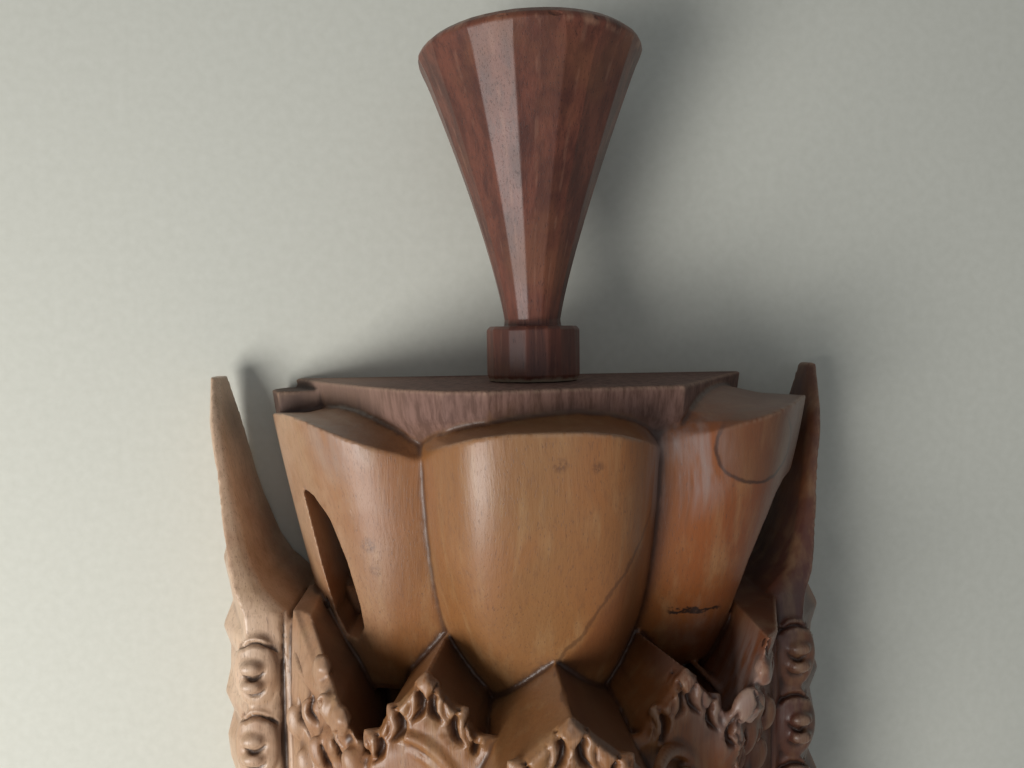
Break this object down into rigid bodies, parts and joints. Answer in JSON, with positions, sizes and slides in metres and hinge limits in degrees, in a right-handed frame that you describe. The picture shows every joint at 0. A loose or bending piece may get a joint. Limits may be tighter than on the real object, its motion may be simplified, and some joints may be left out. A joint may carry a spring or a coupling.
{
  "type": "barong mask",
  "caption": "Carved wooden beast mask with a petalled crown, side wings, gabled diadem and a faceted finial.",
  "frame": {"origin": "middle of the object's length and width, on the surface that its flat back lies on", "axes": "+Z out of the face, +Y from the chin to the finial, +X to the right as seen from the front"},
  "size_m": [0.2637, 0.479, 0.1336],
  "materials": {
    "carved_wood": "waxed honey-brown hardwood, dark in its cuts",
    "turned_wood": "waxed red-brown hardwood cut in facets"
  },
  "bodies": {
    "root": {"mask": "carved_wood", "finial": "turned_wood"}
  },
  "joints": []
}
